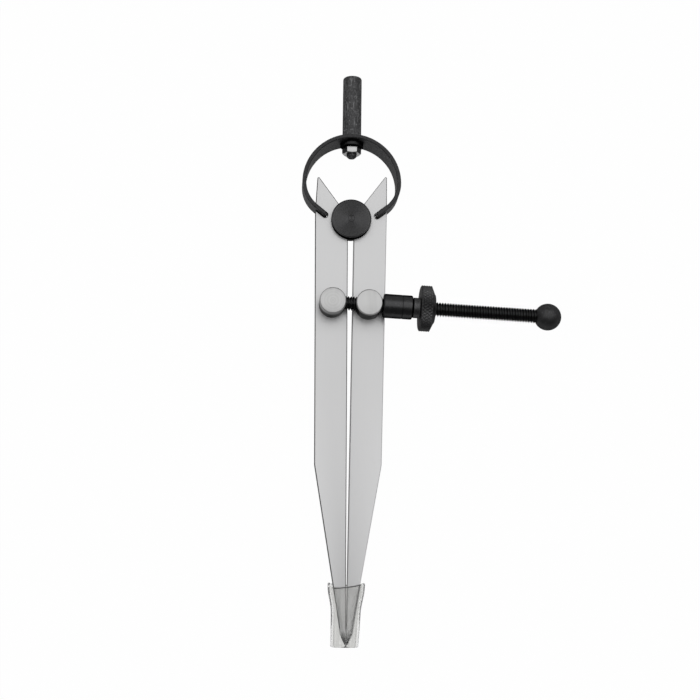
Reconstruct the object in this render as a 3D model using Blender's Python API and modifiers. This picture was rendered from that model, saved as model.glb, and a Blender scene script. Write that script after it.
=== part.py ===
"""Wing divider with a bow spring, 170 mm long, lying flat with its studs up.

Run it with: blender --background --python part.py
+X is to the right, +Y runs along the tool from the points to the stem, and +Z
points out of the legs' front faces. The origin is the centre of the fulcrum's
rear face. Every length is in metres.
"""

import math

import bmesh
import bpy
from mathutils import Matrix, Vector

# Running clearances and allowances
FACE_GAP = 0.0002
BORE_GAP = 0.0001
SLIP_GAP = 0.00015
CUT_OVERRUN = 0.002
MERGE_DISTANCE = 0.00001

# Legs
LEG_THICKNESS = 0.0030
LEG_WIDTH = 0.0098
LEG_SHOULDER_WIDTH = 0.00933
LEG_SHOULDER_Y = -0.0732
LEG_TIP_Y = -0.1243
LEG_POINT_WIDTH = 0.0015
LEG_POINT_LENGTH = 0.0036
LEG_POINT_BULGE_SHARE = 0.72
LEG_GRIND_LENGTH = 0.0052
LEG_TIP_THICKNESS = 0.0008
LEG_GAP_AT_FULCRUM = 0.00094
LEG_GAP_AT_TIP = 0.00006
HORN_HALF_ANGLE = math.radians(36.3)
HORN_TIP_RADIUS = 0.00035
HORN_BASE_Y = 0.003
LEFT_HORN_LEAN = math.radians(3.0)
RIGHT_HORN_LEAN = math.radians(0.3)

# Fulcrum
FULCRUM_HEAD_RADIUS = 0.0060
FULCRUM_HEAD_THICKNESS = 0.0021
FULCRUM_HEAD_RIM = 0.0008
FULCRUM_FACE_RADIUS = 0.0054
FULCRUM_DRUM_RADIUS = 0.0032
FULCRUM_SPIGOT_RADIUS = 0.0020
BACK_DISC_RADIUS = 0.0053
BACK_DISC_THICKNESS = 0.0013
BACK_DISC_CHAMFER = 0.0003

# Bow spring
SPRING_THICKNESS = 0.0012
SPRING_RADIUS = 0.01425
SPRING_CROWN_Y = 0.0261
SPRING_HOOK_RADIUS = 0.0095
SPRING_END_ANGLE = math.radians(51.0)
SPRING_END_LENGTH = 0.00375
SPRING_CROWN_WIDTH = 0.0095
SPRING_END_WIDTH = 0.0064
SPRING_EDGE_RADIUS = 0.00022

# Stem, its tenon, and the washer and nut on it
STEM_RADIUS = 0.00285
STEM_TOP_Y = 0.0455
STEM_CHAMFER = 0.0003
TENON_RADIUS = 0.0015
TENON_END_Y = 0.0199
TENON_CHAMFER = 0.0005
CROWN_WASHER_RADIUS = 0.0035
CROWN_WASHER_THICKNESS = 0.0010
CROWN_NUT_FLATS = 0.0055
CROWN_NUT_THICKNESS = 0.0022
CROWN_NUT_FACE_SHARE = 0.95
CROWN_NUT_CHAMFER_ANGLE = math.radians(30.0)

# Swivel studs
STUD_X = 0.00535
STUD_Y = -0.02605
STUD_DROP_RIGHT = 0.00035
STUD_RADIUS = 0.0039
STUD_HEIGHT = 0.0068
STUD_CHAMFER = 0.0003
STUD_SPIGOT_RADIUS = 0.0020
STUD_RIVET_RADIUS = 0.0027
STUD_RIVET_THICKNESS = 0.0005
STUD_WASHER_RADIUS = 0.0034
STUD_WASHER_THICKNESS = 0.0007

# Adjusting screw
SCREW_TILT = math.radians(2.6)
SCREW_HEIGHT = 0.00375
SCREW_RADIUS = 0.002085
SCREW_SEAT_DEPTH = 0.0029
SCREW_CHAMFER = 0.0003
SCREW_SWAY_ROOM = 0.00045
BALL_RADIUS = 0.00397
BALL_CENTRE = 0.0637

# Thrust sleeve and knurled nut, measured along the screw
SLEEVE_RADIUS = 0.00355
SLEEVE_LENGTH = 0.0086
SLEEVE_SEAT_GAP = 0.0003
SLEEVE_CHAMFER = 0.0003
SLEEVE_END_CHAMFER = 0.0005
SLEEVE_RING_PLACE = 0.0054
SLEEVE_RING_WIDTH = 0.0003
SLEEVE_RING_DEPTH = 0.0001
NUT_HUB_RADIUS = 0.0030
NUT_HUB_LENGTH = 0.0020
NUT_HUB_FILLET = 0.0005
NUT_RIM_RADIUS = 0.0068
NUT_RIM_WIDTH = 0.0032
NUT_RIM_CHAMFER = 0.0003
NUT_CONE_LENGTH = 0.0012
NUT_FACE_RADIUS = 0.0044

# Tip guard, its half sizes inside at each station and the squareness of its section
GUARD_WALL = 0.0007
GUARD_LENGTH = 0.0172
GUARD_END_OVERHANG = 0.0002
GUARD_MOUTH = (0.00465, 0.0019)
GUARD_WAIST = (0.0036, 0.0024)
GUARD_FOOT = (0.0033, 0.0033)
GUARD_WAIST_SHARE = 0.42
GUARD_MOUTH_POWER = 5.0
GUARD_FOOT_POWER = 2.0

# How finely round shapes are cut
ROUND_STEPS = 48
SMALL_STEPS = 32
BALL_STEPS = 14
SPRING_STEPS = 36
GUARD_STEPS = 10
GUARD_SIDES = 32
CURVE_STEPS = 8
SPRING_EDGE_STEPS = 1
SHARP_ANGLE = math.radians(35.0)

# Levels and places worked out from the sizes above
LEG_BACK_Z = BACK_DISC_THICKNESS + FACE_GAP
LEG_MID_Z = LEG_BACK_Z + LEG_THICKNESS / 2
LEG_FRONT_Z = LEG_BACK_Z + LEG_THICKNESS
SCREW_Z = LEG_FRONT_Z + SCREW_HEIGHT
SPRING_CENTRE_Y = SPRING_CROWN_Y - SPRING_RADIUS - SPRING_THICKNESS / 2
SPRING_INNER_CROWN_Y = SPRING_CROWN_Y - SPRING_THICKNESS
LEFT_STUD = Vector((-STUD_X, STUD_Y, LEG_FRONT_Z))
RIGHT_STUD = Vector((STUD_X, STUD_Y - STUD_DROP_RIGHT, LEG_FRONT_Z))
STUD_SPACING = (RIGHT_STUD - LEFT_STUD).length
SLEEVE_START = STUD_SPACING + STUD_RADIUS + SLEEVE_SEAT_GAP
NUT_START = SLEEVE_START + SLEEVE_LENGTH + SLIP_GAP

BLACK_OXIDE = ("black_oxide", (0.045, 0.045, 0.048, 1.0), 0.38, 0.6)
BRUSHED_STEEL = ("brushed_steel", (0.62, 0.62, 0.62, 1.0), 0.38, 1.0)
TURNED_STEEL = ("turned_steel", (0.66, 0.66, 0.66, 1.0), 0.3, 1.0)
CLEAR_VINYL = ("clear_vinyl", (0.80, 0.80, 0.76, 1.0), 0.25, 0.0)


def clear_scene():
    """Removes every object, so that the script can be run again."""
    for old in list(bpy.data.objects):
        bpy.data.objects.remove(old, do_unlink=True)


def new_collection(name):
    collection = bpy.data.collections.new(name)
    bpy.context.scene.collection.children.link(collection)
    return collection


def material(finish, name):
    """A Principled material for one piece, from one of the finishes above."""
    _, colour, roughness, metallic = finish
    made = bpy.data.materials.new(name)
    made.use_nodes = True
    shader = made.node_tree.nodes["Principled BSDF"]
    shader.inputs["Base Color"].default_value = colour
    shader.inputs["Roughness"].default_value = roughness
    shader.inputs["Metallic"].default_value = metallic
    made.diffuse_color = colour
    return made


def move_to(obj, collection):
    for old in list(obj.users_collection):
        old.objects.unlink(obj)
    collection.objects.link(obj)


def finish_piece(obj, name, finish):
    obj.name = name
    obj.data.name = name
    obj.data.materials.append(material(finish, name))
    move_to(obj, PARTS)
    obj.data.shade_smooth()
    obj.data.set_sharp_from_angle(angle=SHARP_ANGLE)
    return obj


def finish_cutter(obj, name):
    obj.name = name
    obj.display_type = "WIRE"
    obj.hide_render = True
    move_to(obj, CUTTERS)
    return obj


def place(obj, origin, turn):
    """Puts an object at a point, with its local axes turned by a matrix."""
    obj.matrix_world = Matrix.Translation(origin) @ turn.to_4x4()


def boolean(target, cutter, operation):
    step = target.modifiers.new(f"{operation.lower()}_{cutter.name}", "BOOLEAN")
    step.operation = operation
    step.solver = "EXACT"
    step.object = cutter


def cylinder_cutter(name, radius, length, centre, turn, steps=SMALL_STEPS):
    bpy.ops.mesh.primitive_cylinder_add(vertices=steps, radius=radius, depth=length)
    cutter = bpy.context.object
    place(cutter, centre, turn)
    return finish_cutter(cutter, name)


def arc_points(centre, radius, start, end, steps):
    """Points on an arc, from the angle start to the angle end."""
    turns = [start + (end - start) * i / steps for i in range(steps + 1)]
    return [(centre[0] + radius * math.cos(a), centre[1] + radius * math.sin(a)) for a in turns]


def flat_piece(name, points, half_thickness, z):
    """A closed outline made into a plate: a filled 2D curve, then a mesh with its caps welded on."""
    curve = bpy.data.curves.new(f"{name}_outline", "CURVE")
    curve.dimensions = "2D"
    curve.fill_mode = "BOTH"
    curve.extrude = half_thickness
    spline = curve.splines.new("POLY")
    spline.points.add(len(points) - 1)
    for point, (x, y) in zip(spline.points, points):
        point.co = (x, y, 0.0, 1.0)
    spline.use_cyclic_u = True
    outline = bpy.data.objects.new(f"{name}_outline", curve)
    bpy.context.scene.collection.objects.link(outline)
    outline.location.z = z
    bpy.context.view_layer.update()
    graph = bpy.context.evaluated_depsgraph_get()
    mesh = bpy.data.meshes.new_from_object(outline.evaluated_get(graph))
    plate = bpy.data.objects.new(name, mesh)
    plate.matrix_world = outline.matrix_world
    bpy.context.scene.collection.objects.link(plate)
    bpy.data.objects.remove(outline, do_unlink=True)
    welded = bmesh.new()
    welded.from_mesh(mesh)
    bmesh.ops.remove_doubles(welded, verts=welded.verts, dist=MERGE_DISTANCE)
    bmesh.ops.recalc_face_normals(welded, faces=welded.faces)
    welded.to_mesh(mesh)
    welded.free()
    return plate


def turned_piece(name, profile, origin, turn, closed=False, steps=ROUND_STEPS):
    """A profile of (radius, height) points, top to bottom on its outer side, turned round local Z."""
    mesh = bpy.data.meshes.new(name)
    edges = [(i, i + 1) for i in range(len(profile) - 1)]
    if closed:
        edges.append((len(profile) - 1, 0))
    mesh.from_pydata([(radius, 0.0, height) for radius, height in profile], edges, [])
    obj = bpy.data.objects.new(name, mesh)
    bpy.context.scene.collection.objects.link(obj)
    screw = obj.modifiers.new("turned", "SCREW")
    screw.angle = math.tau
    screw.steps = steps
    screw.render_steps = steps
    screw.use_merge_vertices = True
    screw.merge_threshold = MERGE_DISTANCE
    screw.use_smooth_shade = True
    place(obj, origin, turn)
    return obj


def ring_profile(inner, outer, bottom, top):
    return [(inner, top), (outer, top), (outer, bottom), (inner, bottom)]


def along(direction):
    """A turn that points local Z along a direction and keeps local Y near world +Z."""
    z_axis = direction.normalized()
    x_axis = Vector((0.0, 0.0, 1.0)).cross(z_axis).normalized()
    y_axis = z_axis.cross(x_axis)
    return Matrix((x_axis, y_axis, z_axis)).transposed()


UPRIGHT = Matrix.Identity(3)
UP_THE_TOOL = along(Vector((0.0, 1.0, 0.0)))
SCREW_DIRECTION = Vector((math.cos(SCREW_TILT), -math.sin(SCREW_TILT), 0.0))
ALONG_SCREW = along(SCREW_DIRECTION)


def on_screw(distance):
    """A point on the screw's axis, at a distance from the left stud's centre."""
    base = Vector((LEFT_STUD.x, LEFT_STUD.y, SCREW_Z))
    return base + SCREW_DIRECTION * distance


def spring_line(share):
    """The band's centreline on its right side: place and inward heading at a share of its length."""
    arc = SPRING_RADIUS * math.pi / 2
    hook = SPRING_HOOK_RADIUS * SPRING_END_ANGLE
    length = arc + hook + SPRING_END_LENGTH
    run = share * length
    if run <= arc:
        angle = run / SPRING_RADIUS
        x = SPRING_RADIUS * math.sin(angle)
        y = SPRING_CENTRE_Y + SPRING_RADIUS * math.cos(angle)
        return x, y, angle - math.pi / 2
    heading = min((run - arc) / SPRING_HOOK_RADIUS, SPRING_END_ANGLE)
    x = SPRING_RADIUS - SPRING_HOOK_RADIUS * (1.0 - math.cos(heading))
    y = SPRING_CENTRE_Y - SPRING_HOOK_RADIUS * math.sin(heading)
    straight = max(run - arc - hook, 0.0)
    return x - straight * math.sin(heading), y - straight * math.cos(heading), heading


def inner_edge_x(y):
    """Half the gap between the legs at a height on the tool."""
    share = y / LEG_TIP_Y
    return LEG_GAP_AT_FULCRUM + (LEG_GAP_AT_TIP - LEG_GAP_AT_FULCRUM) * share


def outer_edge_x(y):
    """A leg's outer edge, above its taper, at a height on the tool."""
    share = y / LEG_SHOULDER_Y
    return inner_edge_x(y) + LEG_WIDTH + (LEG_SHOULDER_WIDTH - LEG_WIDTH) * share


def leg_outline(side, horn_lean):
    """A leg's outline, from its horn down the outer edge to the point and up the inner edge."""
    slope = math.tan(HORN_HALF_ANGLE)
    horn_base = (outer_edge_x(HORN_BASE_Y), HORN_BASE_Y)
    horn_y = (horn_base[0] + HORN_BASE_Y * math.tan(horn_lean)) / (slope + math.tan(horn_lean))
    horn_x = horn_y * slope
    turn = (HORN_HALF_ANGLE - horn_lean) / 2
    inset = HORN_TIP_RADIUS / math.sin((HORN_HALF_ANGLE + horn_lean) / 2)
    centre = (horn_x - inset * math.sin(turn), horn_y - inset * math.cos(turn))
    horn = arc_points(centre, HORN_TIP_RADIUS, math.pi - HORN_HALF_ANGLE, horn_lean, CURVE_STEPS)
    shoulder = (outer_edge_x(LEG_SHOULDER_Y), LEG_SHOULDER_Y)
    point_y = LEG_TIP_Y + LEG_POINT_LENGTH
    nose = []
    for i in range(CURVE_STEPS + 1):
        share = i / CURVE_STEPS
        gap = inner_edge_x(point_y - LEG_POINT_LENGTH * share)
        width = LEG_POINT_WIDTH * (1.0 - share ** (1.0 / LEG_POINT_BULGE_SHARE))
        nose.append((gap + width, point_y - LEG_POINT_LENGTH * share))
    throat = (inner_edge_x(0.0), inner_edge_x(0.0) / slope)
    points = horn + [horn_base, shoulder] + nose + [throat]
    return [(side * x, y) for x, y in points]


def spring_slot_points(side):
    """The oblique slot that takes one end of the bow spring: open outwards, round at its bottom."""
    half = SPRING_THICKNESS / 2 + FACE_GAP
    end_x, end_y, heading = spring_line(1.0)
    out_x, out_y = math.sin(heading), math.cos(heading)
    side_x, side_y = -out_y, out_x
    reach = LEG_WIDTH / 2 + CUT_OVERRUN
    bottom = (end_x, end_y)
    start = math.atan2(side_y, side_x)
    points = arc_points(bottom, half, start, start + math.pi, CURVE_STEPS)
    mouth = (end_x + out_x * reach, end_y + out_y * reach)
    points.append((mouth[0] - side_x * half, mouth[1] - side_y * half))
    points.append((mouth[0] + side_x * half, mouth[1] + side_y * half))
    return [(side * x, y) for x, y in points]


def grind_point(leg):
    """Thins the end of a leg, front and back, to its marking point."""
    grind_y = LEG_TIP_Y + LEG_GRIND_LENGTH
    shape = bmesh.new()
    shape.from_mesh(leg.data)
    everything = shape.verts[:] + shape.edges[:] + shape.faces[:]
    line = Vector((0.0, grind_y, 0.0))
    bmesh.ops.bisect_plane(shape, geom=everything, plane_co=line, plane_no=Vector((0.0, 1.0, 0.0)))
    thinned = 1.0 - LEG_TIP_THICKNESS / LEG_THICKNESS
    for vert in shape.verts:
        share = max(grind_y - vert.co.y, 0.0) / LEG_GRIND_LENGTH
        vert.co.z *= 1.0 - thinned * share
    shape.to_mesh(leg.data)
    shape.free()


def make_leg(name, side, horn_lean, stud):
    leg = flat_piece(name, leg_outline(side, horn_lean), LEG_THICKNESS / 2, LEG_MID_Z)
    grind_point(leg)
    through = LEG_THICKNESS + CUT_OVERRUN
    fulcrum = Vector((0.0, 0.0, LEG_MID_Z))
    drum_cut = cylinder_cutter(
        f"{name}_drum_cut", FULCRUM_DRUM_RADIUS + BORE_GAP, through, fulcrum, UPRIGHT, ROUND_STEPS
    )
    stud_hole = Vector((stud.x, stud.y, LEG_MID_Z))
    stud_cut = cylinder_cutter(
        f"{name}_stud_cut", STUD_SPIGOT_RADIUS + BORE_GAP, through, stud_hole, UPRIGHT
    )
    slot_cut = flat_piece(f"{name}_slot_cut", spring_slot_points(side), through / 2, LEG_MID_Z)
    finish_cutter(slot_cut, slot_cut.name)
    for cutter in (drum_cut, stud_cut, slot_cut):
        boolean(leg, cutter, "DIFFERENCE")
    return finish_piece(leg, name, BRUSHED_STEEL)


def make_fulcrum():
    """The front head with its drum and spigot, and the rear disc riveted to it."""
    head_bottom = LEG_FRONT_Z + FACE_GAP
    head_top = head_bottom + FULCRUM_HEAD_THICKNESS
    rim_top = head_bottom + FULCRUM_HEAD_RIM
    dome = []
    for i in range(CURVE_STEPS + 1):
        angle = math.pi / 2 * (1.0 - i / CURVE_STEPS)
        radius = FULCRUM_FACE_RADIUS + (FULCRUM_HEAD_RADIUS - FULCRUM_FACE_RADIUS) * math.cos(angle)
        dome.append((radius, rim_top + (head_top - rim_top) * math.sin(angle)))
    drum_bottom = LEG_BACK_Z
    profile = [(0.0, head_top)] + dome + [
        (FULCRUM_HEAD_RADIUS, head_bottom),
        (FULCRUM_DRUM_RADIUS, head_bottom),
        (FULCRUM_DRUM_RADIUS, drum_bottom),
        (FULCRUM_SPIGOT_RADIUS, drum_bottom),
        (FULCRUM_SPIGOT_RADIUS, 0.0),
        (0.0, 0.0),
    ]
    stud = turned_piece("fulcrum_stud", profile, Vector(), UPRIGHT)
    finish_piece(stud, "fulcrum_stud", BLACK_OXIDE)

    inner = FULCRUM_SPIGOT_RADIUS + BORE_GAP
    top = BACK_DISC_THICKNESS
    ring = [
        (inner, top),
        (BACK_DISC_RADIUS - BACK_DISC_CHAMFER, top),
        (BACK_DISC_RADIUS, top - BACK_DISC_CHAMFER),
        (BACK_DISC_RADIUS, BACK_DISC_CHAMFER),
        (BACK_DISC_RADIUS - BACK_DISC_CHAMFER, 0.0),
        (inner, 0.0),
    ]
    disc = turned_piece("fulcrum_back_disc", ring, Vector(), UPRIGHT, closed=True)
    finish_piece(disc, "fulcrum_back_disc", BLACK_OXIDE)


def make_bow_spring():
    """A band whose width shrinks from its crown to its ends, bent round, with a hole for the tenon."""
    grid = bmesh.new()
    bmesh.ops.create_grid(grid, x_segments=2 * SPRING_STEPS, y_segments=2, size=1.0)
    for vert in grid.verts:
        share, across = vert.co.x, vert.co.y
        x, y, _ = spring_line(abs(share))
        half = (SPRING_CROWN_WIDTH + (SPRING_END_WIDTH - SPRING_CROWN_WIDTH) * abs(share)) / 2
        vert.co = (math.copysign(x, share), y, LEG_MID_Z + across * half)
    bmesh.ops.recalc_face_normals(grid, faces=grid.faces)
    mesh = bpy.data.meshes.new("bow_spring")
    grid.to_mesh(mesh)
    grid.free()
    spring = bpy.data.objects.new("bow_spring", mesh)
    bpy.context.scene.collection.objects.link(spring)
    wall = spring.modifiers.new("band", "SOLIDIFY")
    wall.thickness = SPRING_THICKNESS
    wall.offset = 0.0
    wall.use_even_offset = True
    edges = spring.modifiers.new("edges", "BEVEL")
    edges.width = SPRING_EDGE_RADIUS
    edges.segments = SPRING_EDGE_STEPS
    edges.limit_method = "ANGLE"
    edges.angle_limit = SHARP_ANGLE
    crown = Vector((0.0, SPRING_CROWN_Y, LEG_MID_Z))
    hole = cylinder_cutter(
        "spring_tenon_cut",
        TENON_RADIUS + SLIP_GAP,
        2 * SPRING_THICKNESS + CUT_OVERRUN,
        crown,
        UP_THE_TOOL,
    )
    boolean(spring, hole, "DIFFERENCE")
    finish_piece(spring, "bow_spring", BLACK_OXIDE)


def make_stem():
    """The turning stem, whose tenon passes through the spring's crown."""
    shoulder = SPRING_CROWN_Y + FACE_GAP
    profile = [
        (0.0, STEM_TOP_Y),
        (STEM_RADIUS - STEM_CHAMFER, STEM_TOP_Y),
        (STEM_RADIUS, STEM_TOP_Y - STEM_CHAMFER),
        (STEM_RADIUS, shoulder),
        (TENON_RADIUS, shoulder),
        (TENON_RADIUS, TENON_END_Y + TENON_CHAMFER),
        (TENON_RADIUS - TENON_CHAMFER, TENON_END_Y),
        (0.0, TENON_END_Y),
    ]
    origin = Vector((0.0, 0.0, LEG_MID_Z))
    stem = turned_piece("handle_stem", profile, origin, UP_THE_TOOL)
    finish_piece(stem, "handle_stem", BLACK_OXIDE)


def make_crown_washer():
    """The round washer between the crown nut and the spring. Returns its lower face's height."""
    inner_radius = SPRING_RADIUS - SPRING_THICKNESS / 2
    sag = inner_radius - math.sqrt(inner_radius**2 - CROWN_WASHER_RADIUS**2)
    top = SPRING_INNER_CROWN_Y - sag - BORE_GAP
    bottom = top - CROWN_WASHER_THICKNESS
    ring = ring_profile(TENON_RADIUS + BORE_GAP, CROWN_WASHER_RADIUS, bottom, top)
    origin = Vector((0.0, 0.0, LEG_MID_Z))
    washer = turned_piece("crown_washer", ring, origin, UP_THE_TOOL, closed=True)
    finish_piece(washer, "crown_washer", BLACK_OXIDE)
    return bottom


def make_crown_nut(seat):
    """A hexagon nut: a six-sided prism, chamfered by a turned double cone, with its bore cut out."""
    corner = CROWN_NUT_FLATS / math.sqrt(3.0)
    flat = CROWN_NUT_FLATS / 2
    middle = seat - BORE_GAP - CROWN_NUT_THICKNESS / 2
    centre = Vector((0.0, middle, LEG_MID_Z))
    bpy.ops.mesh.primitive_cylinder_add(vertices=6, radius=corner, depth=CROWN_NUT_THICKNESS)
    nut = bpy.context.object
    flat_to_front = Matrix.Rotation(math.pi / 6, 3, "Z")
    place(nut, centre, UP_THE_TOOL @ flat_to_front)
    half = CROWN_NUT_THICKNESS / 2
    slope = math.tan(CROWN_NUT_CHAMFER_ANGLE)
    face = flat * CROWN_NUT_FACE_SHARE
    lift = face * slope / 2
    reach = corner + SLIP_GAP
    edge = half - (reach - face) * slope
    top_radius = face - lift / slope
    cone = [(0.0, half + lift), (top_radius, half + lift), (reach, edge)]
    cone += [(radius, -height) for radius, height in reversed(cone)]
    chamfer = turned_piece("crown_nut_chamfer", cone, centre, UP_THE_TOOL)
    finish_cutter(chamfer, "crown_nut_chamfer")
    bore = cylinder_cutter(
        "crown_nut_bore", TENON_RADIUS + BORE_GAP, CROWN_NUT_THICKNESS + CUT_OVERRUN, centre, UP_THE_TOOL
    )
    boolean(nut, chamfer, "INTERSECT")
    boolean(nut, bore, "DIFFERENCE")
    finish_piece(nut, "crown_nut", TURNED_STEEL)


def make_stud(name, centre):
    """A swivel stud: round head above the leg, spigot through it, and the riveted end behind."""
    head_bottom = FACE_GAP
    washer_top = -LEG_THICKNESS - FACE_GAP
    rivet_top = washer_top - STUD_WASHER_THICKNESS - BORE_GAP
    rivet_bottom = rivet_top - STUD_RIVET_THICKNESS
    profile = [
        (0.0, STUD_HEIGHT),
        (STUD_RADIUS - STUD_CHAMFER, STUD_HEIGHT),
        (STUD_RADIUS, STUD_HEIGHT - STUD_CHAMFER),
        (STUD_RADIUS, head_bottom),
        (STUD_SPIGOT_RADIUS, head_bottom),
        (STUD_SPIGOT_RADIUS, rivet_top),
        (STUD_RIVET_RADIUS, rivet_top),
        ((STUD_RIVET_RADIUS + STUD_SPIGOT_RADIUS) / 2, rivet_bottom),
        (0.0, rivet_bottom),
    ]
    stud = turned_piece(name, profile, centre, UPRIGHT)
    finish_piece(stud, name, TURNED_STEEL)
    inner = STUD_SPIGOT_RADIUS + BORE_GAP
    ring = ring_profile(inner, STUD_WASHER_RADIUS, washer_top - STUD_WASHER_THICKNESS, washer_top)
    washer = turned_piece(f"{name}_washer", ring, centre, UPRIGHT, closed=True, steps=SMALL_STEPS)
    finish_piece(washer, f"{name}_washer", TURNED_STEEL)
    return stud


def make_studs():
    left = make_stud("left_stud", LEFT_STUD)
    reach = STUD_RADIUS + CUT_OVERRUN
    seat_length = SCREW_SEAT_DEPTH + reach
    seat = cylinder_cutter(
        "left_stud_screw_seat",
        SCREW_RADIUS + BORE_GAP,
        seat_length,
        on_screw(reach - seat_length / 2),
        ALONG_SCREW,
    )
    boolean(left, seat, "DIFFERENCE")

    right = make_stud("right_stud", RIGHT_STUD)
    across = SCREW_RADIUS + SCREW_SWAY_ROOM
    upright = SCREW_RADIUS + SLIP_GAP
    centre = Vector((RIGHT_STUD.x, RIGHT_STUD.y, SCREW_Z))
    hole = cylinder_cutter("right_stud_screw_hole", across, 2 * reach, centre, ALONG_SCREW)
    hole.scale.y = upright / across
    boolean(right, hole, "DIFFERENCE")


def make_screw():
    """The adjusting screw at its thread's outer diameter, with the ball that stops the nut."""
    start = SCREW_CHAMFER - SCREW_SEAT_DEPTH
    meet = math.asin(SCREW_RADIUS / BALL_RADIUS)
    ball = []
    for i in range(BALL_STEPS + 1):
        angle = (math.pi - meet) * i / BALL_STEPS
        ball.append((BALL_RADIUS * math.sin(angle), BALL_CENTRE + BALL_RADIUS * math.cos(angle)))
    profile = ball + [
        (SCREW_RADIUS, start + SCREW_CHAMFER),
        (SCREW_RADIUS - SCREW_CHAMFER, start),
        (0.0, start),
    ]
    screw = turned_piece("adjusting_screw", profile, on_screw(0.0), ALONG_SCREW, steps=SMALL_STEPS)
    finish_piece(screw, "adjusting_screw", BLACK_OXIDE)


def make_sleeve():
    """The plain sleeve that passes the nut's thrust to the right stud."""
    bore = SCREW_RADIUS + SLIP_GAP
    end = SLEEVE_LENGTH
    ring = SLEEVE_RING_PLACE
    groove = SLEEVE_RADIUS - SLEEVE_RING_DEPTH
    profile = [
        (bore, end),
        (SLEEVE_RADIUS - SLEEVE_END_CHAMFER, end),
        (SLEEVE_RADIUS, end - SLEEVE_END_CHAMFER),
        (SLEEVE_RADIUS, ring + SLEEVE_RING_WIDTH),
        (groove, ring + SLEEVE_RING_WIDTH / 2),
        (SLEEVE_RADIUS, ring),
        (SLEEVE_RADIUS, SLEEVE_CHAMFER),
        (SLEEVE_RADIUS - SLEEVE_CHAMFER, 0.0),
        (bore, 0.0),
    ]
    sleeve = turned_piece(
        "thrust_sleeve", profile, on_screw(SLEEVE_START), ALONG_SCREW, closed=True
    )
    finish_piece(sleeve, "thrust_sleeve", BLACK_OXIDE)


def make_adjusting_nut():
    """The knurled nut: hub, knurled rim at its outer diameter, and the coned outer face."""
    bore = SCREW_RADIUS + SLIP_GAP
    rim_start = NUT_HUB_LENGTH
    rim_end = rim_start + NUT_RIM_WIDTH
    face = rim_end + NUT_CONE_LENGTH
    centre = (NUT_HUB_RADIUS + NUT_HUB_FILLET, rim_start - NUT_HUB_FILLET)
    fillet = arc_points(centre, NUT_HUB_FILLET, math.pi / 2, math.pi, CURVE_STEPS // 2)
    profile = [
        (bore, face),
        (NUT_FACE_RADIUS, face),
        (NUT_RIM_RADIUS, rim_end),
        (NUT_RIM_RADIUS, rim_start + NUT_RIM_CHAMFER),
        (NUT_RIM_RADIUS - NUT_RIM_CHAMFER, rim_start),
    ]
    profile += fillet + [(NUT_HUB_RADIUS, 0.0), (bore, 0.0)]
    nut = turned_piece("adjusting_nut", profile, on_screw(NUT_START), ALONG_SCREW, closed=True)
    finish_piece(nut, "adjusting_nut", BLACK_OXIDE)


def blend(first, second, share):
    """A value between two others, with a smooth start and end."""
    eased = share * share * (3.0 - 2.0 * share)
    return first + (second - first) * eased


def guard_section(share):
    """Half width, half depth and squareness of the guard's inside, from its mouth to its foot."""
    if share < GUARD_WAIST_SHARE:
        part = share / GUARD_WAIST_SHARE
        sizes = [blend(a, b, part) for a, b in zip(GUARD_MOUTH, GUARD_WAIST)]
    else:
        part = (share - GUARD_WAIST_SHARE) / (1.0 - GUARD_WAIST_SHARE)
        sizes = [blend(a, b, part) for a, b in zip(GUARD_WAIST, GUARD_FOOT)]
    return sizes[0], sizes[1], GUARD_MOUTH_POWER + (GUARD_FOOT_POWER - GUARD_MOUTH_POWER) * share


def superellipse(angle, half_width, half_depth, power):
    """A point on a rounded section: an ellipse at power 2, squarer above it."""
    c, s = math.cos(angle), math.sin(angle)
    x = half_width * math.copysign(abs(c) ** (2.0 / power), c)
    z = half_depth * math.copysign(abs(s) ** (2.0 / power), s)
    return x, z


def make_tip_guard():
    """A soft open tube over the points: a tube primitive shaped ring by ring, then given its wall."""
    foot_y = LEG_TIP_Y - GUARD_END_OVERHANG
    bpy.ops.mesh.primitive_cylinder_add(
        vertices=GUARD_SIDES, radius=GUARD_FOOT[0], depth=GUARD_LENGTH, end_fill_type="NOTHING"
    )
    guard = bpy.context.object
    shape = bmesh.new()
    shape.from_mesh(guard.data)
    lines = [edge for edge in shape.edges if abs(edge.verts[0].co.z - edge.verts[1].co.z) > GUARD_WALL]
    bmesh.ops.subdivide_edges(shape, edges=lines, cuts=GUARD_STEPS - 1, use_grid_fill=True)
    mouth_y = foot_y + GUARD_LENGTH
    for vert in shape.verts:
        share = 0.5 - vert.co.z / GUARD_LENGTH
        angle = math.atan2(vert.co.y, vert.co.x)
        x, z = superellipse(angle, *guard_section(share))
        vert.co = (x, mouth_y - GUARD_LENGTH * share, LEG_MID_Z - z)
    shape.to_mesh(guard.data)
    shape.free()
    wall = guard.modifiers.new("wall", "SOLIDIFY")
    wall.thickness = GUARD_WALL
    wall.offset = 1.0
    wall.use_even_offset = True
    finish_piece(guard, "tip_guard", CLEAR_VINYL)


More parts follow.
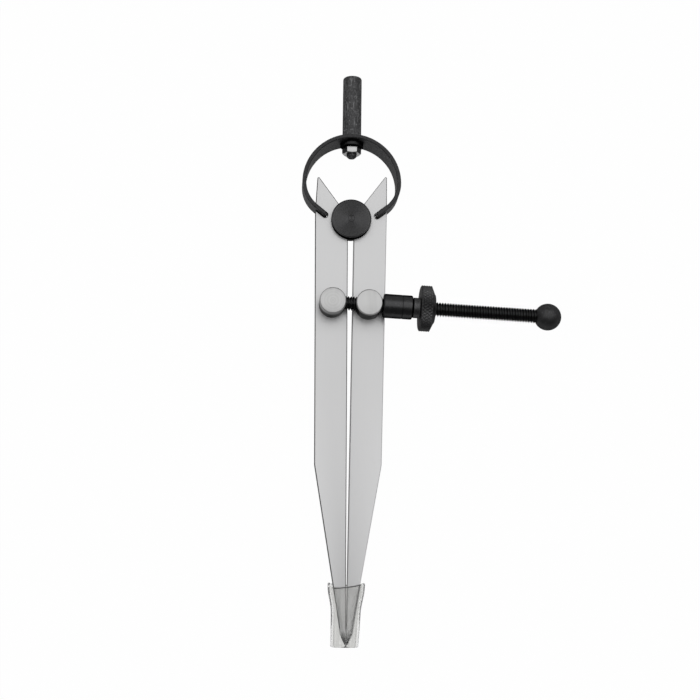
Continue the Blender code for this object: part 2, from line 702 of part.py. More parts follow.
def parent_to_joints():
    """Empties on the joint axes, with each moving piece under its own."""
    fulcrum = Vector((0.0, 0.0, LEG_MID_Z))
    screw_pieces = ["left_stud", "left_stud_washer", "adjusting_screw"]
    pivots = {
        "left_leg_pivot": (fulcrum, None, ["left_leg"]),
        "right_leg_pivot": (fulcrum, None, ["right_leg"]),
        "left_stud_pivot": (LEFT_STUD, "left_leg_pivot", screw_pieces),
        "right_stud_pivot": (RIGHT_STUD, "right_leg_pivot", ["right_stud", "right_stud_washer"]),
        "nut_travel": (on_screw(SLEEVE_START), "left_stud_pivot", ["thrust_sleeve", "adjusting_nut"]),
        "guard_travel": (Vector((0.0, LEG_TIP_Y, LEG_MID_Z)), "left_leg_pivot", ["tip_guard"]),
    }
    for name, (point, parent, children) in pivots.items():
        empty = bpy.data.objects.new(name, None)
        PARTS.objects.link(empty)
        empty.location = point
        if parent:
            empty.parent = bpy.data.objects[parent]
            empty.location = point - pivots[parent][0]
        bpy.context.view_layer.update()
        for child in children:
            obj = bpy.data.objects[child]
            obj.parent = empty
            obj.matrix_parent_inverse = empty.matrix_world.inverted()


clear_scene()
PARTS = new_collection("wing_divider")
CUTTERS = new_collection("wing_divider_cutters")
make_leg("left_leg", -1.0, LEFT_HORN_LEAN, LEFT_STUD)
make_leg("right_leg", 1.0, RIGHT_HORN_LEAN, RIGHT_STUD)
make_fulcrum()
make_bow_spring()
make_stem()
make_crown_nut(make_crown_washer())
make_studs()
make_screw()
make_sleeve()
make_adjusting_nut()
make_tip_guard()
parent_to_joints()
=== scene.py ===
"""Looks of the 170 mm wing divider: every visible piece, its finish, and the studio around it."""

import math

import bmesh
import bpy
from bpy.props import FloatProperty, FloatVectorProperty, IntProperty, PointerProperty
from bpy.types import Operator, Panel, PropertyGroup
from mathutils import Matrix, Vector


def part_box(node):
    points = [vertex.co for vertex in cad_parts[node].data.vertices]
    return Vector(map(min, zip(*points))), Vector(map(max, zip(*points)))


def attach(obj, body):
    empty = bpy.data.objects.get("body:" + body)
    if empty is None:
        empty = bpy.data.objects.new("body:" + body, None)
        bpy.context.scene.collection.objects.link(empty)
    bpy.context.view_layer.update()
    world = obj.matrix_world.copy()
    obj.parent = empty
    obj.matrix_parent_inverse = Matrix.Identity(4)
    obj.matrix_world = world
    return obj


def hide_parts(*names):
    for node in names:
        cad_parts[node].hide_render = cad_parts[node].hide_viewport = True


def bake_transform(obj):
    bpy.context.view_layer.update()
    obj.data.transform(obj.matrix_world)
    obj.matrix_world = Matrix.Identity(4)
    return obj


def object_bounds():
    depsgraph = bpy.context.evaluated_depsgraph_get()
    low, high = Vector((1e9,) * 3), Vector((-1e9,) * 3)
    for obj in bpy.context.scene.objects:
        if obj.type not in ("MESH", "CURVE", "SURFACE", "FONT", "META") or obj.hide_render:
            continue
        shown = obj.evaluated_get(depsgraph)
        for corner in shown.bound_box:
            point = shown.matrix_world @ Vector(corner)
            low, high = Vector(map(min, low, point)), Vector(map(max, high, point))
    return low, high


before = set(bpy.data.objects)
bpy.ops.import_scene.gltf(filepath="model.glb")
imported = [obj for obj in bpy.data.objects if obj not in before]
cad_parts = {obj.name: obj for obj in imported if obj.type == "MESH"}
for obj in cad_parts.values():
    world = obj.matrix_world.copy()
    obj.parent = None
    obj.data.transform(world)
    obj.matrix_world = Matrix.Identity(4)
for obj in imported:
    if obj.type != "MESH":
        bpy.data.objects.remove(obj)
CAD_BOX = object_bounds()

bl_info = {
    "name": "Wing divider",
    "version": (1, 0, 0),
    "blender": (4, 5, 0),
    "location": "View3D > Sidebar > Wing divider",
    "description": "Builds the pieces of a bow-spring wing divider and a studio to show it in",
    "category": "Object",
}

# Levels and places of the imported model, in metres
LEG_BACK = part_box("left_leg")[0].z
LEG_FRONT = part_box("left_leg")[1].z
LEG_MIDDLE = (LEG_BACK + LEG_FRONT) / 2
POINTS_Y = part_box("left_leg")[0].y
HEAD_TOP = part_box("fulcrum_stud")[1].z
STEM_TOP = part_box("handle_stem")[1].y
LOWEST = CAD_BOX[0].z
LEFT_STUD = Vector((-0.00535, -0.02605, LEG_FRONT))
RIGHT_STUD = Vector((0.00535, -0.02640, LEG_FRONT))
SCREW_HEIGHT = 0.00375
SCREW_TILT = math.radians(2.6)
SPRING_CROWN = 0.0261

# Places along the screw, from the left stud's middle
THREAD_START = -0.0026
BALL_MIDDLE = 0.0637
SLEEVE_START = 0.0149057
NUT_START = 0.0236557

# Shared by several pieces: the gap beside what turns, the bores on the screw, the facets of a round
PLAY = 0.0002
BORE_RADIUS = 0.002235
ROUND = 96


class DividerSizes(PropertyGroup):
    """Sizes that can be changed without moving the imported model."""

    leg_edge: FloatProperty(
        name="Leg edge",
        description="Width of the small chamfer round each leg",
        default=0.00022,
        unit="LENGTH",
    )
    thread_pitch: FloatProperty(
        name="Thread pitch",
        description="Distance from crest to crest on the adjusting screw",
        default=0.000794,
        unit="LENGTH",
    )
    thread_depth: FloatProperty(
        name="Thread depth",
        description="Height of the thread's crests above their roots",
        default=0.00048,
        unit="LENGTH",
    )
    knurl_rows: IntProperty(
        name="Knurl rows",
        description="Rows of half diamonds across the nut's rim",
        default=4,
    )
    knurl_depth: FloatProperty(
        name="Knurl depth",
        description="Height of the knurl's diamonds",
        default=0.00028,
        unit="LENGTH",
    )
    ring_pitch: FloatProperty(
        name="Turned ring pitch",
        description="Distance between the tool marks on the turned faces",
        default=0.0009,
        unit="LENGTH",
    )
    guard_wall: FloatProperty(
        name="Guard wall",
        description="Thickness of the soft tube's wall",
        default=0.0007,
        unit="LENGTH",
    )


class DividerFinishes(PropertyGroup):
    """Colours and roughness of the finishes."""

    steel: FloatVectorProperty(
        name="Brushed steel",
        description="Colour of the legs",
        subtype="COLOR",
        default=(0.68, 0.68, 0.683),
    )
    turned_steel: FloatVectorProperty(
        name="Turned steel",
        description="Colour of the studs, washers and crown nut",
        subtype="COLOR",
        default=(0.485, 0.485, 0.483),
    )
    black: FloatVectorProperty(
        name="Black oxide",
        description="Colour of the blackened pieces",
        subtype="COLOR",
        default=(0.050, 0.050, 0.051),
    )
    vinyl: FloatVectorProperty(
        name="Clear vinyl",
        description="Tint of the soft guard",
        subtype="COLOR",
        default=(0.80, 0.80, 0.79),
    )
    brushed_roughness: FloatProperty(
        name="Brushed roughness",
        description="Roughness of the brushed legs",
        default=0.34,
        subtype="FACTOR",
    )


def sizes():
    return bpy.context.scene.divider_sizes


def finishes():
    return bpy.context.scene.divider_finishes


# Selecting and shaping


def rest():
    """Object mode with nothing selected."""
    if bpy.context.mode != "OBJECT":
        bpy.ops.object.mode_set(mode="OBJECT")
    bpy.ops.object.select_all(action="DESELECT")


def take(piece):
    """Makes one piece the selected and active one."""
    rest()
    piece.select_set(True)
    bpy.context.view_layer.objects.active = piece
    return piece


def open_mesh(piece, mode="VERT"):
    """Edit mode on one piece, with nothing selected."""
    take(piece)
    bpy.ops.object.mode_set(mode="EDIT")
    bpy.ops.mesh.select_mode(type=mode)
    bpy.ops.mesh.select_all(action="DESELECT")


def pick(piece, wanted):
    """Selects the points, edges or faces whose middle, and normal or edge angle, pass a test."""
    shape = bmesh.from_edit_mesh(piece.data)
    if "VERT" in shape.select_mode:
        places = [(item, item.co, item.normal) for item in shape.verts]
    elif "EDGE" in shape.select_mode:
        ends = [(item, item.verts[0].co + item.verts[1].co) for item in shape.edges]
        places = [(item, both / 2, item.calc_face_angle(0.0)) for item, both in ends]
    else:
        places = [(item, item.calc_center_median(), item.normal) for item in shape.faces]
    for item in [item for item, middle, facing in places if wanted(middle, facing)]:
        item.select_set(True)
    shape.select_flush_mode()
    bmesh.update_edit_mesh(piece.data)


def join_points(distance):
    """Joins the open mesh's points that lie together, and leaves everything selected."""
    bpy.ops.mesh.select_all(action="SELECT")
    bpy.ops.mesh.remove_doubles(threshold=distance)
    bpy.ops.mesh.select_all(action="SELECT")


def close_mesh():
    bpy.ops.object.mode_set(mode="OBJECT")


def add_modifier(piece, kind, **settings):
    """Adds a modifier and applies it."""
    take(piece)
    step = piece.modifiers.new(kind.lower(), kind)
    for name, value in settings.items():
        setattr(step, name, value)
    bpy.ops.object.modifier_apply(modifier=step.name)


def soften_edges(piece, width, segments=2, angle=30.0):
    """Bevels the edges that are sharper than an angle in degrees."""
    add_modifier(
        piece,
        "BEVEL",
        width=width,
        segments=segments,
        limit_method="ANGLE",
        angle_limit=math.radians(angle),
    )


def smooth(piece, angle=32.0):
    """Shades a piece smooth, but for the edges that are sharper than an angle in degrees."""
    take(piece)
    bpy.ops.object.shade_smooth_by_angle(angle=math.radians(angle))


def settle(piece, place):
    """Moves a piece to its place and leaves the place in its mesh."""
    take(piece)
    piece.matrix_world = place
    bpy.ops.object.transform_apply(location=True, rotation=True, scale=True)


def merged_copy(node, name):
    """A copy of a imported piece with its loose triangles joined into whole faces."""
    piece = bpy.data.objects.new(name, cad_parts[node].data.copy())
    bpy.context.scene.collection.objects.link(piece)
    take(piece)
    if piece.data.has_custom_normals:
        bpy.ops.mesh.customdata_custom_splitnormals_clear()
    open_mesh(piece)
    join_points(0.000002)
    bpy.ops.mesh.dissolve_limited(angle_limit=math.radians(0.5))
    close_mesh()
    return piece


def drawn(name, profile, base=0.0):
    """An open line through (radius, height) points over a base, extruded from one point."""
    rest()
    side = 0.001
    bpy.ops.mesh.primitive_plane_add(size=side)
    piece = bpy.context.object
    piece.name = name
    piece.data.name = name
    open_mesh(piece)
    pick(piece, lambda point, normal: point.x > 0 or point.y > 0)
    bpy.ops.mesh.delete(type="VERT")
    bpy.ops.mesh.select_all(action="SELECT")
    corner = Vector((-side / 2, -side / 2, 0.0))
    start = Vector((profile[0][0], 0.0, base + profile[0][1]))
    bpy.ops.transform.translate(value=start - corner)
    for before, after in zip(profile, profile[1:]):
        run = (after[0] - before[0], 0.0, after[1] - before[1])
        bpy.ops.mesh.extrude_region_move(TRANSFORM_OT_translate={"value": run})
    join_points(0.000001)
    return piece


def turned(name, profile, steps=ROUND, closed=False):
    """A profile spun round Z; a closed one has its last point joined to its first."""
    piece = drawn(name, profile + profile[:1] if closed else profile)
    bpy.ops.mesh.spin(steps=steps, angle=math.tau, center=(0, 0, 0), axis=(0, 0, 1))
    join_points(0.000002)
    bpy.ops.mesh.normals_make_consistent(inside=False)
    close_mesh()
    return piece


def bore(piece, radius, length, place, flatten=1.0, steps=64):
    """Cuts a round or oval hole through a piece."""
    rest()
    bpy.ops.mesh.primitive_cylinder_add(vertices=steps, radius=radius, depth=length)
    cutter = bpy.context.object
    cutter.matrix_world = place @ Matrix.Diagonal((1.0, flatten, 1.0, 1.0))
    add_modifier(piece, "BOOLEAN", operation="DIFFERENCE", solver="EXACT", object=cutter)
    bpy.data.objects.remove(cutter, do_unlink=True)


def along(direction, point):
    """The place of a piece that was modelled along Z, with its Y kept upright."""
    z_axis = direction.normalized()
    x_axis = Vector((0.0, 0.0, 1.0)).cross(z_axis).normalized()
    y_axis = z_axis.cross(x_axis)
    turn = Matrix((x_axis, y_axis, z_axis)).transposed()
    return Matrix.Translation(point) @ turn.to_4x4()


def on_screw(distance):
    """The place of a piece that sits on the adjusting screw."""
    direction = Vector((math.cos(SCREW_TILT), -math.sin(SCREW_TILT), 0.0))
    base = LEFT_STUD + Vector((0.0, 0.0, SCREW_HEIGHT))
    return along(direction, base + direction * distance)


def up_the_tool(height):
    """The place of a piece that stands on the tool's middle line."""
    return along(Vector((0.0, 1.0, 0.0)), Vector((0.0, height, LEG_MIDDLE)))


def arc(centre, radius, start, end, steps):
    """Profile points on an arc, in degrees."""
    points = []
    for i in range(steps + 1):
        angle = math.radians(start + (end - start) * i / steps)
        points.append((centre[0] + radius * math.cos(angle), centre[1] + radius * math.sin(angle)))
    return points


def dress(piece, finish, second=None, where=None):
    """Gives a piece its finish, and a second one to the faces that pass a test."""
    piece.data.materials.clear()
    piece.data.materials.append(finish)
    if second:
        piece.data.materials.append(second)
        open_mesh(piece, "FACE")
        pick(piece, where)
        piece.active_material_index = 1
        bpy.ops.object.material_slot_assign()
        close_mesh()


def hand_over(piece, body, slot, *nodes):
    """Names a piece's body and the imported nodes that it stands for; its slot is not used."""
    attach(piece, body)
    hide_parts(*nodes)


# Finishes


class Wire:
    """A shader socket that can be used in sums."""

    def __init__(self, nodes, socket):
        self.nodes = nodes
        self.socket = socket

    def __add__(self, other):
        return self.nodes.calculate("ADD", self, other)

    def __radd__(self, other):
        return self.nodes.calculate("ADD", other, self)

    def __sub__(self, other):
        return self.nodes.calculate("SUBTRACT", self, other)

    def __rsub__(self, other):
        return self.nodes.calculate("SUBTRACT", other, self)

    def __mul__(self, other):
        return self.nodes.calculate("MULTIPLY", self, other)

    def __rmul__(self, other):
        return self.nodes.calculate("MULTIPLY", other, self)


class Nodes:
    """Adds nodes to one tree: a finish's or the world's."""

    def __init__(self, tree):
        self.tree = tree

    def node(self, kind, settings=None, sockets=None, output=0):
        """Adds a node: its settings first, then the values or links of its sockets."""
        made = self.tree.nodes.new(kind)
        for name, value in (settings or {}).items():
            setattr(made, name, value)
        for name, value in (sockets or {}).items():
            if isinstance(value, Wire):
                self.tree.links.new(value.socket, made.inputs[name])
            else:
                made.inputs[name].default_value = value
        return Wire(self, made.outputs[output])

    def calculate(self, operation, *values):
        return self.node("ShaderNodeMath", {"operation": operation}, dict(enumerate(values)))

    def coordinate(self, vector, axis):
        return self.node("ShaderNodeSeparateXYZ", None, {0: vector}, output=axis)

    def steps(self, value, low, high, start=0.0, end=1.0):
        """Maps a range of a value to another range, clamped."""
        sockets = {"Value": value, 1: low, 2: high, 3: start, 4: end}
        return self.node("ShaderNodeMapRange", {"clamp": True}, sockets)

    def ray(self, kind):
        """1 for light rays of one kind."""
        return self.node("ShaderNodeLightPath", output=f"Is {kind} Ray")

    def seen(self):
        """1 for rays from the camera or through the vinyl."""
        return self.calculate("MAXIMUM", self.ray("Camera"), self.ray("Transmission"))


class Finish(Nodes):
    """One procedural material on Object coordinates."""

    def __init__(self, name, **constants):
        self.material = bpy.data.materials.new(name)
        self.material.use_nodes = True
        super().__init__(self.material.node_tree)
        self.shader = self.tree.nodes["Principled BSDF"]
        for socket, value in constants.items():
            self.shader.inputs[socket.replace("_", " ")].default_value = value

    def place(self, scale=(1.0, 1.0, 1.0), location=(0.0, 0.0, 0.0), turn=(0.0, 0.0, 0.0)):
        """Object coordinates, moved, turned and scaled."""
        coords = self.node("ShaderNodeTexCoord", output="Object")
        settings = {"vector_type": "POINT"}
        sockets = {"Vector": coords, "Location": location, "Rotation": turn, "Scale": scale}
        return self.node("ShaderNodeMapping", settings, sockets)

    def noise(self, vector, detail=2.0, rough=0.5):
        """A noise whose grain is set by the scale of its coordinates."""
        sockets = {"Vector": vector, "Scale": 1.0, "Detail": detail, "Roughness": rough}
        return self.node("ShaderNodeTexNoise", None, sockets)

    def tint(self, share, first, second):
        """A colour between two others."""
        settings = {"data_type": "RGBA"}
        first, second = (
            end if isinstance(end, Wire) else (*end, 1.0) for end in (first, second)
        )
        return self.node("ShaderNodeMix", settings, {0: share, 6: first, 7: second}, output=2)

    def radius(self, place):
        """Distance from the Z axis of a set of coordinates."""
        flat = self.node(
            "ShaderNodeVectorMath", {"operation": "MULTIPLY"}, {0: place, 1: (1.0, 1.0, 0.0)}
        )
        return self.node("ShaderNodeVectorMath", {"operation": "LENGTH"}, {0: flat}, output="Value")

    def wave(self, value, pitch):
        """A ripple of one pitch, from 0 to 1."""
        return self.calculate("SINE", value * (math.tau / pitch)) * 0.5 + 0.5

    def ridge(self, value, middle, width):
        """1 at one value, falling to 0 on both sides of it."""
        away = self.calculate("ABSOLUTE", value - middle)
        return self.steps(away, 0.0, width, 1.0, 0.0)

    def set(self, socket, wire):
        self.tree.links.new(wire.socket, self.shader.inputs[socket])

    def bump(self, height, strength, distance):
        sockets = {"Strength": strength, "Distance": distance, "Height": height}
        self.set("Normal", self.node("ShaderNodeBump", None, sockets))


def shade(colour, factor):
    return tuple(min(part * factor, 1.0) for part in colour)


def brushed_steel(name, drift, point_shade):
    """Steel brushed lengthwise, with painted light that makes it lighter towards the points, a painted
    shadow of the guard where it covers the legs, and painted shade on the sharpened tips.
    """
    guard_shadow_end, point_shade_end = POINTS_Y + 0.0168, POINTS_Y + 0.0052
    steel = Finish(name, Metallic=0.5)
    colour = finishes().steel
    streaks = steel.noise(steel.place((3600.0, 42.0, 3600.0), drift), detail=3.0, rough=0.62)
    fine = steel.noise(steel.place((9000.0, 160.0, 9000.0), drift), detail=1.0)
    slow = steel.noise(steel.place((260.0, 22.0, 260.0), drift), detail=1.0)
    tone = steel.steps(streaks * 0.55 + fine * 0.2 + slow * 0.25, 0.34, 0.66)
    height = steel.coordinate(steel.place(), "Y")
    # Painted light: lighter towards the points, on top of the random brush tone
    light = tone * 0.1 + steel.steps(height, -0.05, POINTS_Y, 0.0, 0.8)
    # Painted shadow of the guard: darker over the length of the legs that the guard covers
    guard_shadow = steel.steps(height, guard_shadow_end - 0.0010, guard_shadow_end, 0.72, 1.0)
    # Painted shade on the sharpened tips, a dark reflection, darker on the left leg than the right
    point = steel.steps(height + slow * 0.003, point_shade_end - 0.0018, point_shade_end, point_shade, 1.0)
    colour = steel.tint(light, shade(colour, 0.97), shade(colour, 1.21))
    steel.set("Base Color", steel.tint(point * guard_shadow, (0.0, 0.0, 0.0), colour))
    steel.set("Roughness", tone * 0.06 + (finishes().brushed_roughness - 0.03))
    steel.bump(streaks, 0.05, 0.00001)
    return steel.material


def sheared_and_shaded_steel(name):
    """The legs' thin walls and some chamfers, darker than their brushed faces: partly a sheared finish,
    partly painted shade.
    """
    steel = Finish(name, Metallic=1.0)
    colour = finishes().steel
    marks = steel.noise(steel.place((1400.0, 1400.0, 5200.0)))
    # Painted shade: steel far darker than the faces, beyond what a sheared finish gives
    steel.set("Base Color", steel.tint(marks, shade(colour, 0.10), shade(colour, 0.26)))
    steel.set("Roughness", marks * 0.15 + 0.38)
    steel.bump(marks, 0.3, 0.00002)
    return steel.material


def dark_flank_painted_sheen(name, sheen_tone):
    """A stud's flank: black low down, lightening to a painted sheen just under its face."""
    black_to, sheen_from = LEG_FRONT + 0.0040, LEG_FRONT + 0.0062
    steel = Finish(name, Metallic=1.0, Specular_Tint=(0.5, 0.5, 0.5, 1.0))
    height = steel.coordinate(steel.place(), "Z")
    flank_noise = steel.noise(steel.place((700.0, 700.0, 1500.0)), detail=3.0)
    # Black low down, lightening to a painted sheen under the face, lighter on the left stud than the
    # right
    share = steel.steps(height + flank_noise * 0.0012, black_to, sheen_from)
    steel.set("Base Color", steel.tint(share, (0.03, 0.03, 0.03), (sheen_tone, sheen_tone, sheen_tone)))
    steel.set("Roughness", flank_noise * 0.1 + 0.30)
    steel.bump(flank_noise, 0.2, 0.00003)
    return steel.material


def ringed_steel(name, centre, rough, ring_strength, cross):
    """Faced steel: broad and fine tool rings round its middle, with softly crossed marks."""
    inner_line, inner_width = 0.0, 0.0004
    outer_line, outer_width = 0.0031, 0.0003
    fine_pitch = 0.00036
    steel = Finish(name, Metallic=1.0)
    colour = finishes().turned_steel
    radius = steel.radius(steel.place(location=(-centre.x, -centre.y, 0.0)))
    rings = steel.wave(radius, sizes().ring_pitch)
    lines = steel.ridge(radius, inner_line, inner_width)
    lines = lines + steel.ridge(radius, outer_line, outer_width) * 0.35
    fine = steel.noise(steel.place((5200.0, 5200.0, 900.0)))
    bands = steel.noise(steel.place((900.0, 60.0, 900.0)), detail=1.0)
    marks = rings * ring_strength + fine * 0.25 + bands * cross
    tone = steel.steps(marks - lines * (2.2 * ring_strength), -0.6, 0.9)
    steel.set("Base Color", steel.tint(tone, shade(colour, 0.72), shade(colour, 1.10)))
    steel.set("Roughness", fine * 0.10 + rough)
    steel.bump(steel.wave(radius, fine_pitch) + fine * 0.3, 0.5, 0.00003)
    return steel.material


def black_oxide(
    name, depth=1.0, rough=0.34, edge=0.15, light=2.4,
    flecks=0.35, scratches=0.0, grain=0.25, rings=None,
):
    """Blackened steel: a fine mottle, with flecks, lengthwise scratches, or rings of a given pitch."""
    black = Finish(name, Metallic=1.0, Specular_Tint=(edge, edge, edge, 1.0))
    colour = finishes().black
    mottle = black.noise(black.place((900.0, 900.0, 900.0)), detail=3.0, rough=0.65)
    fleck = black.steps(black.noise(black.place((2400.0, 1300.0, 2400.0)), rough=0.7), 0.56, 0.72)
    scratch = black.noise(black.place((2600.0, 240.0, 2600.0), turn=(0.0, 0.0, 0.35)))
    wear = fleck * flecks + black.steps(scratch, 0.58, 0.74) * scratches
    tone = black.steps(mottle * (0.1 + grain) + wear, 0.06, 0.9)
    dark = shade(colour, 0.7 * depth)
    black.set("Base Color", black.tint(tone, dark, shade(colour, light * depth)))
    black.set("Roughness", mottle * 0.12 + (rough - 0.06))
    if rings:
        radius = black.radius(black.place())
        black.bump(black.wave(radius, rings), 1.0, 0.00008)
    else:
        black.bump(mottle * grain + fleck * 0.2, 0.35, 0.00004)
    return black.material


def clear_vinyl(name):
    """Soft clear vinyl with lengthwise streaks, and painted shade along the legs' outer edges."""
    blade_start, blade_half, blade_slope, nose_slope = POINTS_Y + 0.0036, 0.00158, 0.172, 0.44
    vinyl = Finish(name, Metallic=0.0, IOR=1.36, Transmission_Weight=1.0)
    colour = finishes().vinyl
    ripple = vinyl.noise(vinyl.place((260.0, 110.0, 260.0)), detail=1.0)
    streaks = vinyl.noise(vinyl.place((1100.0, 90.0, 1100.0)))
    x = vinyl.coordinate(vinyl.place(), "X")
    y = vinyl.coordinate(vinyl.place(), "Y")
    blade = (y - blade_start) * blade_slope + blade_half
    nose = (y - POINTS_Y) * nose_slope
    edge = vinyl.calculate("MINIMUM", blade, nose)
    # Painted shade where the legs' outer edges show through the vinyl, stronger at the right edge; the
    # streaks add a random tint
    right = vinyl.ridge(x - edge, -0.0001, 0.00042)
    left = vinyl.ridge(x + edge, 0.0004, 0.0009)
    above = vinyl.steps(y, POINTS_Y, POINTS_Y + 0.001)
    dark = (right * 0.9 + left * 0.2) * above + vinyl.steps(streaks, 0.45, 0.75, 0.0, 0.22)
    vinyl.set("Base Color", vinyl.tint(dark, colour, shade(colour, 0.2)))
    vinyl.set("Roughness", streaks * 0.06 + 0.03)
    side_on = vinyl.node("ShaderNodeLayerWeight", None, {"Blend": 0.5}, output="Facing")
    vinyl.set("Alpha", vinyl.steps(side_on, 0.55, 0.95, 1.0, 0.4))
    vinyl.bump(ripple, 0.3, 0.0002)
    return vinyl.material


def painted_shade_rim_vinyl(name):
    """The tube's cut rim, with painted shade that makes it look dark from every side."""
    vinyl = Finish(name, Metallic=0.0, Transmission_Weight=0.35)
    shade_mottle = vinyl.noise(vinyl.place((900.0, 900.0, 900.0)), detail=1.0)
    # Painted shade: dark grey on the rim, varied at random
    vinyl.set("Base Color", vinyl.tint(shade_mottle, (0.05, 0.05, 0.05), (0.14, 0.14, 0.14)))
    vinyl.set("Roughness", shade_mottle * 0.1 + 0.3)
    return vinyl.material


# Pieces


class DIVIDER_OT_legs(Operator):
    """Two flat legs with chamfered edges, brushed lengthwise"""

    bl_idname = "divider.legs"
    bl_label = "Legs"

    def execute(self, context):
        # Node, shift of its brush marks, and the painted shade on its sharpened tip
        legs = (
            ("left_leg", (0.0, 0.0, 0.0), 0.12),
            ("right_leg", (0.4, 0.7, 0.2), 0.35),
        )
        for node, drift, point_shade in legs:
            leg = merged_copy(node, f"{node}_blade")
            open_mesh(leg, "EDGE")
            pick(leg, self.on_outline)
            bpy.ops.mesh.bevel(offset=sizes().leg_edge, segments=1, affect="EDGES")
            close_mesh()
            smooth(leg, 20.0)
            faces = brushed_steel(f"{node}_brushed_steel", drift, point_shade)
            # The walls and chosen chamfers get the darker edge finish, partly painted shade
            dress(leg, faces, sheared_and_shaded_steel(f"{node}_sheared_and_shaded_edge"), self.on_shaded_edge)
            hand_over(leg, node, "brushed_steel", node)
        return {"FINISHED"}

    def on_outline(self, middle, angle):
        """The sharp edges of a front or rear face, down to the ground point."""
        on_face = abs(middle.z - LEG_MIDDLE) > 0.0014
        return on_face and angle > 0.7 and middle.y > POINTS_Y + 0.0045

    def on_shaded_edge(self, middle, normal):
        """All the walls, the left leg's chamfers, and the right leg's inner one inside the guard: the
        faces with the darker edge finish and its painted shade.
        """
        in_guard = middle.x < 0.0006 and middle.y < POINTS_Y + 0.018
        chamfer = abs(normal.z) < 0.9 and (middle.x < 0.0 or in_guard)
        return abs(normal.z) < 0.3 or chamfer


class DIVIDER_OT_fulcrum(Operator):
    """The turned head and its riveted back disc"""

    bl_idname = "divider.fulcrum"
    bl_label = "Fulcrum"

    def execute(self, context):
        finish = black_oxide(
            "fulcrum_black_oxide", depth=2.3, rough=0.18, flecks=0.0, grain=0.0, rings=0.00036
        )
        self.head(finish)
        self.rear_disc(finish)
        return {"FINISHED"}

    def head(self, finish):
        """The rounded head with a fine ring at its middle, the pivot drum and the rivet."""
        top, radius, rounding = HEAD_TOP, 0.0060, 0.0007
        drum, rivet = 0.0032, 0.0020
        mark, mark_width, mark_depth = 0.00095, 0.00015, 0.00005
        profile = [
            (0.0, top),
            (mark - mark_width, top),
            (mark, top - mark_depth),
            (mark + mark_width, top),
            *arc((radius - rounding, top - rounding), rounding, 90, 0, 8),
            (radius, LEG_FRONT + PLAY),
            (drum, LEG_FRONT + PLAY),
            (drum, LEG_BACK),
            (rivet, LEG_BACK),
            (rivet, 0.0),
            (0.0, 0.0),
        ]
        head = turned("fulcrum_head", profile)
        smooth(head)
        dress(head, finish)
        hand_over(head, "handle", "black_oxide", "fulcrum_stud")

    def rear_disc(self, finish):
        top, radius, hole, chamfer = LEG_BACK - PLAY, 0.0053, 0.0021, 0.0003
        ring = [
            (hole, top),
            (radius - chamfer, top),
            (radius, top - chamfer),
            (radius, chamfer),
            (radius - chamfer, 0.0),
            (hole, 0.0),
        ]
        disc = turned("fulcrum_rear_disc", ring, closed=True)
        soften_edges(disc, 0.00006)
        smooth(disc)
        dress(disc, finish)
        hand_over(disc, "handle", "black_oxide", "fulcrum_back_disc")


class DIVIDER_OT_bow_spring(Operator):
    """The bow spring, as two halves"""

    bl_idname = "divider.bow_spring"
    bl_label = "Bow spring"

    def execute(self, context):
        finish = black_oxide(
            "spring_black_oxide",
            depth=1.2, rough=0.5, edge=0.65, light=4.0, flecks=0.6, scratches=0.4, grain=0.4,
        )
        edge = black_oxide("spring_edge_oxide", depth=0.95, rough=0.5, grain=0.3)
        for side, leg in ((-1.0, "left_leg"), (1.0, "right_leg")):
            half = merged_copy("bow_spring", f"bow_spring_{leg.split('_')[0]}")
            open_mesh(half)
            bpy.ops.mesh.select_all(action="SELECT")
            bpy.ops.mesh.bisect(
                plane_co=(0, 0, 0), plane_no=(side, 0, 0), use_fill=True, clear_inner=True
            )
            self.round_end(half, side)
            smooth(half, 40.0)
            dress(half, finish, edge, lambda middle, normal: abs(normal.z) > 0.9)
            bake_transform(half)
            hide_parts("bow_spring")
        return {"FINISHED"}

    def round_end(self, half, side):
        """Draws the band's end out into its slot and rounds it over."""
        drawn_out, rounding = 0.00056, 0.0004
        heading = math.radians(51.0)
        out = Vector((-side * math.sin(heading), -math.cos(heading), 0.0))
        end = Vector((side * 0.00781, 0.00151, LEG_MIDDLE))
        bpy.ops.mesh.select_mode(type="FACE")
        bpy.ops.mesh.select_all(action="DESELECT")
        pick(half, lambda middle, normal: normal.dot(out) > 0.95 and (middle - end).length < 0.004)
        bpy.ops.mesh.extrude_region_move(TRANSFORM_OT_translate={"value": out * drawn_out})
        close_mesh()
        open_mesh(half, "EDGE")
        tip = end + out * drawn_out

        def on_corner(middle, angle):
            at_tip = abs((middle - tip).dot(out)) < 0.0001
            return at_tip and abs(middle.z - LEG_MIDDLE) < 0.002

        pick(half, on_corner)
        bpy.ops.mesh.bevel(offset=rounding, segments=4, affect="EDGES")
        close_mesh()


